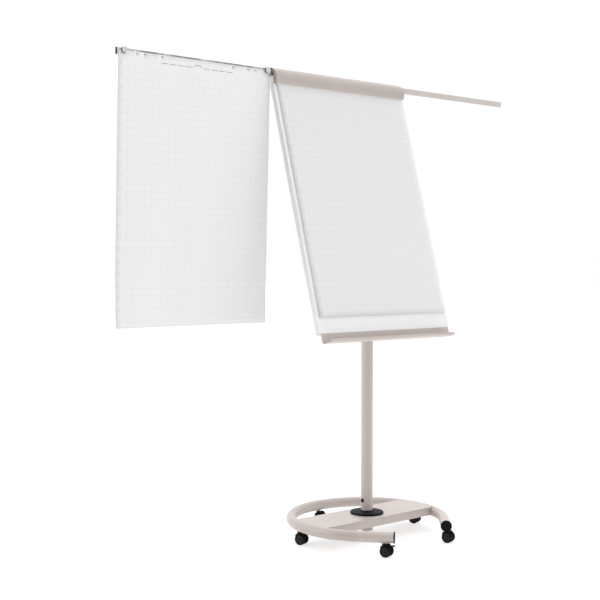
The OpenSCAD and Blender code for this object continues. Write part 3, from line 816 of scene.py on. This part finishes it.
# ---------------------------------------------------------------- clamp bar
BAR_CENTRE = (-26 * MM, 1033 * MM)
BAR_R = 48 * MM
BAR_T = 2.5 * MM
BAR_FOOT_S = 1003 * MM
BAR_HALF = 350 * MM
PIN_AT = (-36.6 * MM, 1068 * MM)
KNUCKLE_R = 4.2 * MM
HINGE_R = 2.05 * MM
KNUCKLES = (-0.25, -0.05, 0.05, 0.25)
KNUCKLE_HALF = 20 * MM
BAR_CORNER = 6 * MM
BAR_CAP_T = 4 * MM
TAB_TOP = 1078 * MM
RAIL_GAP = 0.8 * MM     # from the rail's front to the bar's end plates


def corner_inset(away, radius):
    """How far a rounded corner draws in at that distance from the edge."""
    if away >= radius:
        return 0.0
    return radius - math.sqrt(max(0.0, radius ** 2 - (radius - away) ** 2))


def bar_inset(walked, whole):
    """The bar's four corners are rounded."""
    return corner_inset(min(walked, whole - walked), BAR_CORNER)


def make_knuckle(x):
    """An eye round the hinge pin, and the tab that joins it to the bar."""
    left, right = x - KNUCKLE_HALF, x + KNUCKLE_HALF
    pin_n, pin_s = PIN_AT
    eye = circle(0, 0, 1, 28)
    rings = [
        [on_board(end, pin_n + r * c, pin_s + r * s) for c, s in eye]
        for end, r in ((left, KNUCKLE_R), (right, KNUCKLE_R), (right, HINGE_R), (left, HINGE_R))
    ]
    knuckle = loft("knuckle", rings + rings[:1], closed_ends=False)
    wall = pin_n - KNUCKLE_R
    corners = [(wall, pin_s), (wall + BAR_T, pin_s), (wall + BAR_T, TAB_TOP + 0.5 * MM), (wall, TAB_TOP)]
    tab = loft("tab", [[on_board(end, n, s) for n, s in corners] for end in (left, right)])
    return [knuckle, tab]


def make_clamp_bar():
    """The curved shell, from its front edge over the pad to the hinge at the back."""
    middle_r = BAR_R - BAR_T / 2
    start = math.asin((BAR_FOOT_S + 0.6 * MM - BAR_CENTRE[1]) / BAR_R)
    back_n = PIN_AT[0] - KNUCKLE_R + 0.3 * MM
    end = math.acos((back_n - BAR_CENTRE[0]) / BAR_R)
    steps = 44
    arc = []
    for i in range(steps + 1):
        a = start + (end - start) * i / steps
        arc.append((BAR_CENTRE[0] + middle_r * math.cos(a), BAR_CENTRE[1] + middle_r * math.sin(a)))
    parts = [bent_sheet("clamp_bar_shell", arc, BAR_T, BAR_HALF, bar_inset)]
    for x in KNUCKLES:
        parts += make_knuckle(x)
    bar = joined("clamp_bar_cover", parts)
    soften(bar, 0.5 * MM)
    place_piece(bar, "clamp_bar", "warm_grey_paint", "clamp_bar")


def make_bar_caps():
    """The plates that close the bar's ends in front of the rail, with a raised middle."""
    r = BAR_R - BAR_T - 0.25 * MM
    low_s = BAR_FOOT_S + 2 * MM
    low_a = math.asin((low_s - BAR_CENTRE[1]) / r)
    high_a = math.acos((RAIL_GAP - BAR_CENTRE[0]) / r)
    steps = 24
    arc = []
    for i in range(steps + 1):
        a = low_a + (high_a - low_a) * i / steps
        arc.append(Vector((BAR_CENTRE[0] + r * math.cos(a), BAR_CENTRE[1] + r * math.sin(a))))
    outline = arc + [Vector((RAIL_GAP, low_s))]
    middle = sum(outline, Vector((0, 0))) / len(outline)
    caps = []
    for side in SIDES:
        rings = []
        for out, share in ((-BAR_CAP_T, 1.0), (-0.7 * MM, 1.0), (-0.15 * MM, 0.96), (-0.15 * MM, 0.86),
                           (-0.7 * MM, 0.82)):
            ring = [middle + (p - middle) * share for p in outline]
            rings.append([on_board(side * (BAR_HALF + out), p.x, p.y) for p in ring])
        caps.append(loft("cap", rings))
    place_piece(joined("bar_end_plates", caps), "clamp_bar", "grey_plastic", "bar_end_caps")


make_clamp_bar()
make_bar_caps()

# ---------------------------------------------------------------- pen tray
TRAY_HALF = 348 * MM
TRAY_T = 2 * MM
TRAY_DROP = 40 * MM
TRAY_DEPTH = 41 * MM
TRAY_LIP = 11 * MM
BOARD_T = 22.5 * MM
TRAY_BEND = 2.2 * MM
TRAY_CORNER = 8 * MM


def tray_inset(walked, whole):
    """The flange's lower corners and the shelf's front corners are rounded."""
    flange_end = BOARD_T - 2 * MM + TRAY_DROP - TRAY_T
    if walked <= flange_end:
        return corner_inset(flange_end - walked, TRAY_CORNER)
    front = whole - TRAY_LIP
    return TRAY_CORNER + 0.6 * corner_inset(max(0.0, front - walked), TRAY_CORNER)


def make_tray():
    """A flange on the board's foot, folded into a shelf with a lip."""
    half_t = TRAY_T / 2
    corners = [
        (-BOARD_T + 1 * MM, -half_t),
        (-half_t, -half_t),
        (-half_t, -TRAY_DROP + half_t),
        (TRAY_DEPTH - half_t, -TRAY_DROP + half_t),
        (TRAY_DEPTH - half_t, -TRAY_DROP + TRAY_LIP),
    ]
    line = rounded(corners, TRAY_BEND)
    dense = [line[0]]
    for p, q in zip(line, line[1:]):
        parts = max(1, round((Vector(q) - Vector(p)).length / (1.5 * MM)))
        dense += [
            (p[0] + (q[0] - p[0]) * i / parts, p[1] + (q[1] - p[1]) * i / parts)
            for i in range(1, parts + 1)
        ]
    tray = bent_sheet("folded_pen_tray", dense, TRAY_T, TRAY_HALF, tray_inset)
    soften(tray, 0.45 * MM)
    # the tray takes the lightened painted-light copy of the warm grey coat
    place_piece(tray, "head", "warm_grey_paint", "pen_tray", material=TRAY_COAT_LIGHTENED)


make_tray()

# ---------------------------------------------------------------- base trim
RING_LOW, RING_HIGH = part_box("base_ring")
TUBE_R = 21 * MM
TUBE_WALL = 2 * MM
RING_R = (RING_HIGH.x - RING_LOW.x) / 2 - TUBE_R
RING_Y = RING_HIGH.y - TUBE_R - RING_R
RING_Z = (RING_LOW.z + RING_HIGH.z) / 2
RING_OPEN = math.radians(48)
LEG = 130 * MM
CAP_T = 4 * MM


def leg_frame(side):
    """The outer end of a leg: Z points out of the tube."""
    root = Vector((side * RING_R * math.sin(RING_OPEN), RING_Y - RING_R * math.cos(RING_OPEN), RING_Z))
    out = Vector((-side * math.cos(RING_OPEN), -math.sin(RING_OPEN), 0))
    place = out.to_track_quat("Z", "Y").to_matrix().to_4x4()
    place.translation = root + out * (LEG - CAP_T)
    return place


def make_ring_caps():
    """Plugs with a domed rim in the open ends of the legs."""
    r = TUBE_R + 1.4 * MM
    plug_r = TUBE_R - TUBE_WALL - 0.1 * MM
    profile = [
        (0, -9 * MM), (plug_r - 0.6 * MM, -9 * MM), (plug_r, -8.4 * MM), (plug_r, 0),
        (r - 0.4 * MM, 0), (r, 0.4 * MM), (r, 2.4 * MM), (r - 0.4 * MM, 3.2 * MM),
        (r - 1.3 * MM, 3.8 * MM), (r - 2.6 * MM, 4.0 * MM), (r - 3.6 * MM, 3.6 * MM),
        (r - 10 * MM, 3.6 * MM), (0, 3.65 * MM),
    ]
    caps = [revolve("cap", profile, leg_frame(side)) for side in SIDES]
    place_piece(joined("leg_end_caps", caps), "base", "black_plastic", "ring_end_caps")


def make_collar():
    """The low cone that covers the column's flange."""
    low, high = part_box("column_collar")
    r = (high.x - low.x) / 2
    profile = [
        (24.1 * MM, 8.6 * MM), (50 * MM, 5.6 * MM), (r - 2.4 * MM, 0.05 * MM), (r - 0.4 * MM, 0.05 * MM),
        (r, 0.5 * MM), (r, 4.8 * MM), (r - 0.4 * MM, 6.2 * MM), (r - 1.5 * MM, 7.1 * MM),
        (r - 3.2 * MM, 7.7 * MM), (r - 9 * MM, 8.4 * MM), (r - 20 * MM, 9.6 * MM), (34 * MM, 10.8 * MM),
        (30 * MM, 11.2 * MM), (28.7 * MM, 11.9 * MM), (28.2 * MM, 13.2 * MM), (27.4 * MM, 13.9 * MM),
        (26.2 * MM, 14.0 * MM), (24.1 * MM, 14.0 * MM),
    ]
    place = Matrix.Translation((0, 0, low.z))
    collar = revolve("collar_shroud", profile, place, 96)
    place_piece(collar, "base", "black_plastic", "column_collar")


def make_plug():
    """The button in the side of the column."""
    low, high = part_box("column_plug")
    place = Matrix.Translation((0, 0, (low.z + high.z) / 2)) @ Matrix.Rotation(math.radians(-90), 4, "Y")
    top = -low.x
    profile = [
        (0, 12 * MM), (5.7 * MM, 12 * MM), (5.7 * MM, 24 * MM), (7.7 * MM, 24 * MM), (8.0 * MM, 24.4 * MM),
        (7.8 * MM, 25.1 * MM), (7.0 * MM, 25.9 * MM), (4.5 * MM, top - 0.15 * MM), (0, top),
    ]
    plug = revolve("column_button", profile, place, 40)
    place_piece(plug, "base", "black_plastic", "column_plug")


BEAM_WALL = 3 * MM      # thickness of the beam's folded walls
BEAM_HALF = 263 * MM    # where those walls end
WELD_STEPS = 24


def make_beam_welds():
    """The seams that close the beam's folded walls against the ring's tube."""
    low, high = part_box("cross_beam")
    top = high.z - BEAM_WALL
    welds = []
    for side in SIDES:
        for y in (low.y + BEAM_WALL / 2, high.y - BEAM_WALL / 2):
            rings = []
            for i in range(WELD_STEPS + 1):
                z = low.z + (top - low.z) * i / WELD_STEPS
                tube = math.sqrt(TUBE_R ** 2 - (z - RING_Z) ** 2)
                seam = math.sqrt((RING_R - tube) ** 2 - (y - RING_Y) ** 2)
                ripple = 0.3 * MM * math.sin(1.9 * i)
                edge = [
                    (BEAM_HALF - 1 * MM, 1.6 * MM), (seam - 4 * MM, 1.7 * MM),
                    (seam - 1 * MM, 2.6 * MM + ripple), (seam + 2 * MM, 4.2 * MM + ripple),
                ]
                outline = edge + [(x, -half) for x, half in reversed(edge)]
                rings.append([Vector((side * x, y + half, z)) for x, half in outline])
            welds.append(loft("weld", rings))
    place_piece(joined("beam_weld_seams", welds), "base", "light_grey_paint")


make_ring_caps()
make_collar()
make_plug()
make_beam_welds()


# ---------------------------------------------------------------- arms
def rounded_section(width, height, radius, steps=3):
    """A rectangle's outline with rounded corners, round its middle."""
    outline = []
    for quarter, (sx, sy) in enumerate(((1, 1), (-1, 1), (-1, -1), (1, -1))):
        cx, cy = sx * (width / 2 - radius), sy * (height / 2 - radius)
        for i in range(steps + 1):
            a = math.pi / 2 * (quarter + i / steps)
            outline.append((cx + radius * math.cos(a), cy + radius * math.sin(a)))
    return outline


def make_arm(side, name, body):
    """A flat bar with a cap on its outer end and a stop on its inner one."""
    node = name + "_arm"
    low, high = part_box(node)
    middle_y, middle_z = (low.y + high.y) / 2, (low.z + high.z) / 2
    outline = rounded_section(high.y - low.y, high.z - low.z, 1.6 * MM)
    columns = 24
    rings = [
        [(low.x + (high.x - low.x) * i / columns, middle_y + y, middle_z + z) for y, z in outline]
        for i in range(columns + 1)
    ]
    place_piece(loft(name + "_arm_bar", rings), body, "arm_steel", node)
    ends = node + "_ends"
    end_low, end_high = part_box(ends)
    tip = (end_low.x, low.x) if side < 0 else (high.x, end_high.x)
    stop = (high.x, end_high.x) if side < 0 else (end_low.x, low.x)
    cap = block("tip", (tip[0], low.y, low.z), (tip[1], high.y, high.z), radius=1.1 * MM)
    inner = block("stop", (stop[0], low.y, low.z), (stop[1], high.y, high.z), radius=1.8 * MM)
    slot = "black_plastic" if side < 0 else "grey_plastic"
    place_piece(joined(name + "_arm_stops", [cap, inner]), body, slot, ends)


make_arm(-1, "left", "left_arm")
make_arm(1, "right", "right_arm")

SHADE_STRIP_T = 0.25 * MM
SHADE_STRIP_DROP = 15 * MM     # how far the painted shade strip reaches down the arm's front


def make_arm_shade_strip():
    """A thin strip over the front and top of the left arm, between the two clips, coloured dark as the
    painted shade under the hanging sheet's top edge.
    """
    front, back, top = ARM_LOW.y, ARM_HIGH.y, ARM_HIGH.z
    turn = 1.4 * MM
    outline = [
        (front - SHADE_STRIP_T, top - SHADE_STRIP_DROP), (front - SHADE_STRIP_T, top - turn), (front + 0.3 * MM, top - 0.2 * MM),
        (front + turn, top + SHADE_STRIP_T), (back - turn, top + SHADE_STRIP_T), (back - turn, top - 0.1 * MM),
        (front + turn, top - 0.1 * MM), (front + 0.6 * MM, top - 0.6 * MM), (front + 0.1 * MM, top - turn),
        (front + 0.1 * MM, top - SHADE_STRIP_DROP),
    ]
    clips = [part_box(name) for name in ("outer_clip", "inner_clip")]
    start, end = [(low.x + high.x) / 2 for low, high in clips]
    columns = 32
    rings = [
        [(start + (end - start) * i / columns, y, z) for y, z in outline] for i in range(columns + 1)
    ]
    shade_piece = loft("left_arm_painted_shade_strip", rings)
    # the strip's dark colour is painted shade, not a grip tape
    place_piece(shade_piece, "left_arm", "black_plastic", material=ARM_SHADE_STRIP)


make_arm_shade_strip()

# ---------------------------------------------------------------- sheet clips
CLIP_R = 12 * MM
CLIP_T = 9 * MM


def make_clip(name, body):
    """A round face on a black jaw, with a hook that rides over the arm."""
    low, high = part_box(name)
    x = (low.x + high.x) / 2
    z = high.z - CLIP_R
    front = low.y
    facing = Matrix.Translation((x, front, z)) @ Matrix.Rotation(math.radians(90), 4, "X")
    face_profile = [
        (0, -3.6 * MM), (10.4 * MM, -3.6 * MM), (11.4 * MM, -3.2 * MM), (11.6 * MM, -2.4 * MM),
        (11.3 * MM, -1.4 * MM), (10.4 * MM, -0.7 * MM), (8.8 * MM, -0.4 * MM), (7.6 * MM, -0.7 * MM),
        (4.0 * MM, -0.5 * MM), (0, -0.35 * MM),
    ]
    face = revolve(name + "_face", face_profile, facing, 48)
    jaw_profile = [
        (0, -CLIP_T), (10.8 * MM, -CLIP_T), (11.6 * MM, -CLIP_T + 0.6 * MM), (11.9 * MM, -6 * MM),
        (11.6 * MM, -4.6 * MM), (10.4 * MM, -3.7 * MM), (0, -3.7 * MM),
    ]
    jaw = revolve("jaw", jaw_profile, facing, 48)
    over_z = ARM_HIGH.z + 0.4 * MM
    hook_w = 5 * MM
    strap = block("strap", (x - hook_w, front + CLIP_T - 2 * MM, over_z),
                  (x + hook_w, high.y - 0.1 * MM, over_z + 1.9 * MM), radius=0.6 * MM)
    claw = block("claw", (x - hook_w, high.y - 2 * MM, over_z - 8.2 * MM),
                 (x + hook_w, high.y - 0.05 * MM, over_z + 1.8 * MM), radius=0.6 * MM)
    hook = joined(name + "_jaw", [jaw, strap, claw])
    place_piece(hook, body, "black_plastic")
    place_piece(face, body, "clip_face", name)


make_clip("outer_clip", "left_arm")
make_clip("inner_clip", "inner_clip")

# ---------------------------------------------------------------- castors
CASTOR_TURN = math.radians(-72)
TRAIL = 13 * MM
WHEEL_R = 22 * MM
WHEEL_GAP = 5 * MM
WHEEL_W = 14 * MM
FACE_R = WHEEL_R - 5 * MM
HOOD_TOP = RING_Z - TUBE_R - 2.5 * MM
WEB_HALF = 4.1 * MM
HOOD_FROM, HOOD_TO = math.radians(63), math.radians(157)
CASTORS = ("front_left", "front_right", "left", "right", "back")


def castor_place(name):
    """The castor's own frame: its swivel pin is Z and it trails along X."""
    low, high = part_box(name + "_pin")
    middle = Vector(((low.x + high.x) / 2, (low.y + high.y) / 2, 0))
    return Matrix.Translation(middle) @ Matrix.Rotation(CASTOR_TURN, 4, "Z")


def make_wheels(name):
    """Two wheels on one axle, each with a tread, a rim and a dished face."""
    place = castor_place(name) @ Matrix.Translation((TRAIL, 0, WHEEL_R))
    tread = WHEEL_GAP + WHEEL_W
    profile = [
        (0, WHEEL_GAP - 0.3 * MM), (5.5 * MM, WHEEL_GAP - 0.3 * MM), (6.5 * MM, WHEEL_GAP + 0.1 * MM),
        (WHEEL_R - 2.4 * MM, WHEEL_GAP + 0.1 * MM), (WHEEL_R - 1.2 * MM, WHEEL_GAP + 0.5 * MM),
        (WHEEL_R - 0.4 * MM, WHEEL_GAP + 1.5 * MM), (WHEEL_R, WHEEL_GAP + 3.2 * MM),
        (WHEEL_R, tread - 4.2 * MM), (WHEEL_R - 0.3 * MM, tread - 2.2 * MM),
        (WHEEL_R - 1.0 * MM, tread - 1.0 * MM), (WHEEL_R - 2.2 * MM, tread - 0.3 * MM),
        (WHEEL_R - 3.6 * MM, tread - 0.05 * MM), (FACE_R + 0.4 * MM, tread - 0.3 * MM),
        (FACE_R - 0.4 * MM, tread - 1.3 * MM), (FACE_R - 2.4 * MM, tread - 1.6 * MM),
        (9.0 * MM, tread - 1.2 * MM), (7.2 * MM, tread - 1.1 * MM), (6.5 * MM, tread - 0.4 * MM),
        (5.2 * MM, tread - 0.1 * MM), (0, tread),
    ]
    wheels = []
    for side in SIDES:
        facing = place @ Matrix.Rotation(math.radians(-90 * side), 4, "X")
        wheels.append(revolve("wheel", profile, facing, 72, smooth_to=28))
    axle = revolve("axle", [(0, -WHEEL_GAP), (1.9 * MM, -WHEEL_GAP), (1.9 * MM, WHEEL_GAP), (0, WHEEL_GAP)],
                   place @ Matrix.Rotation(math.radians(90), 4, "X"), 24)
    pair = joined(name + "_wheel_set", wheels + [axle])
    pair.data.materials.append(FINISHES["black_tread"])
    pair.data.materials.append(WHEEL_FACE)
    centre = place.translation
    axis = place.to_3x3() @ Vector((0, 1, 0))
    for polygon in pair.data.polygons:
        offset = polygon.center - centre
        along = offset.dot(axis)
        radius = (offset - along * axis).length
        polygon.material_index = int(radius < FACE_R + 0.5 * MM)
    place_piece(pair, name + "_wheel_pair", "black_tread", name + "_wheels")


def make_hood(name):
    """The fork: a web between the wheels, a crowned cover over them and a neck round the pin."""
    place = castor_place(name)
    axle = place @ Matrix.Translation((TRAIL, 0, WHEEL_R))
    steps, across = 20, 8
    inner_r, outer_r = WHEEL_R + 1.3 * MM, HOOD_TOP - WHEEL_R
    half = WHEEL_GAP + WHEEL_W - 0.2 * MM
    rings = []
    for i in range(steps + 1):
        a = HOOD_FROM + (HOOD_TO - HOOD_FROM) * i / steps
        end = min(i, steps - i) / steps * 2
        width = half * math.sqrt(min(1.0, 0.3 + 1.6 * end))
        ring = []
        for j in range(across + 1):
            y = width * (2 * j / across - 1)
            r = outer_r - 1.5 * MM * abs(y / half) ** 3
            ring.append(axle @ Vector((r * math.cos(a), y, r * math.sin(a))))
        for j in range(across, -1, -1):
            y = width * (2 * j / across - 1)
            ring.append(axle @ Vector((inner_r * math.cos(a), y, inner_r * math.sin(a))))
        rings.append(ring)
    cover = loft("cover", rings)
    outline = rounded(
        [(-5.3, -5.3), (5.3, -5.3), (20, 15.5), (20, 21.5), (11, 24.5), (-13, 24.5), (-20, 17.5),
         (-5.3, -5.3)], 2, 4
    )[1:-1]
    outline = [(x * MM, z * MM) for x, z in outline]
    web = loft("web", [[axle @ Vector((x, y, z)) for x, z in outline] for y in (-WEB_HALF, WEB_HALF)])
    boss = revolve("boss", [(0, -WEB_HALF), (7.6 * MM, -WEB_HALF), (8 * MM, -WEB_HALF + 0.4 * MM),
                            (8 * MM, WEB_HALF - 0.4 * MM), (7.6 * MM, WEB_HALF), (0, WEB_HALF)],
                   axle @ Matrix.Rotation(math.radians(90), 4, "X"), 40)
    neck = revolve("neck", [(5.6 * MM, HOOD_TOP - 3.8 * MM), (8.2 * MM, HOOD_TOP - 3.8 * MM),
                            (8.0 * MM, HOOD_TOP - 1 * MM), (7.3 * MM, HOOD_TOP - 0.1 * MM),
                            (5.6 * MM, HOOD_TOP - 0.1 * MM)], place, 40)
    hood = joined(name + "_fork_hood", [cover, web, boss, neck])
    soften(hood, 0.5 * MM)
    place_piece(hood, name + "_fork", "black_plastic", name + "_hood")


for castor in CASTORS:
    make_wheels(castor)
    make_hood(castor)


# ---------------------------------------------------------------- clamp knob
KNOB_LOBES = 6
KNOB_DEPTH = 0.13       # how far the lobes swell, as a share of the radius
KNOB_REACH = 1.14       # the CAD knob's reach over its mean radius


def make_knob():
    """The lobed hand knob of the height clamp."""
    low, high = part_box("clamp_knob")
    z = (low.z + high.z) / 2
    place = Matrix.Translation((0, low.y, z)) @ Matrix.Rotation(math.radians(-90), 4, "X")
    deep = high.y - low.y
    r = (high.x - low.x) / 2 / KNOB_REACH
    profile = [
        (0, 0.1 * MM), (8.4 * MM, 0.1 * MM), (9 * MM, 0.7 * MM), (9 * MM, 4 * MM),
        (r - 4 * MM, 4.2 * MM), (r - 1.2 * MM, 5 * MM), (r, 7 * MM), (r, deep - 5 * MM),
        (r - 1.2 * MM, deep - 2.4 * MM), (r - 4 * MM, deep - 1 * MM), (r - 8 * MM, deep - 0.4 * MM),
        (6 * MM, deep - 1.2 * MM), (0, deep - 1.2 * MM),
    ]
    knob = revolve("clamp_hand_knob", profile, place, 96, KNOB_LOBES, KNOB_DEPTH)
    place_piece(knob, "clamp_knob", "black_plastic", "clamp_knob")


make_knob()

# ---------------------------------------------------------------- soft pieces
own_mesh(turned_sheet)
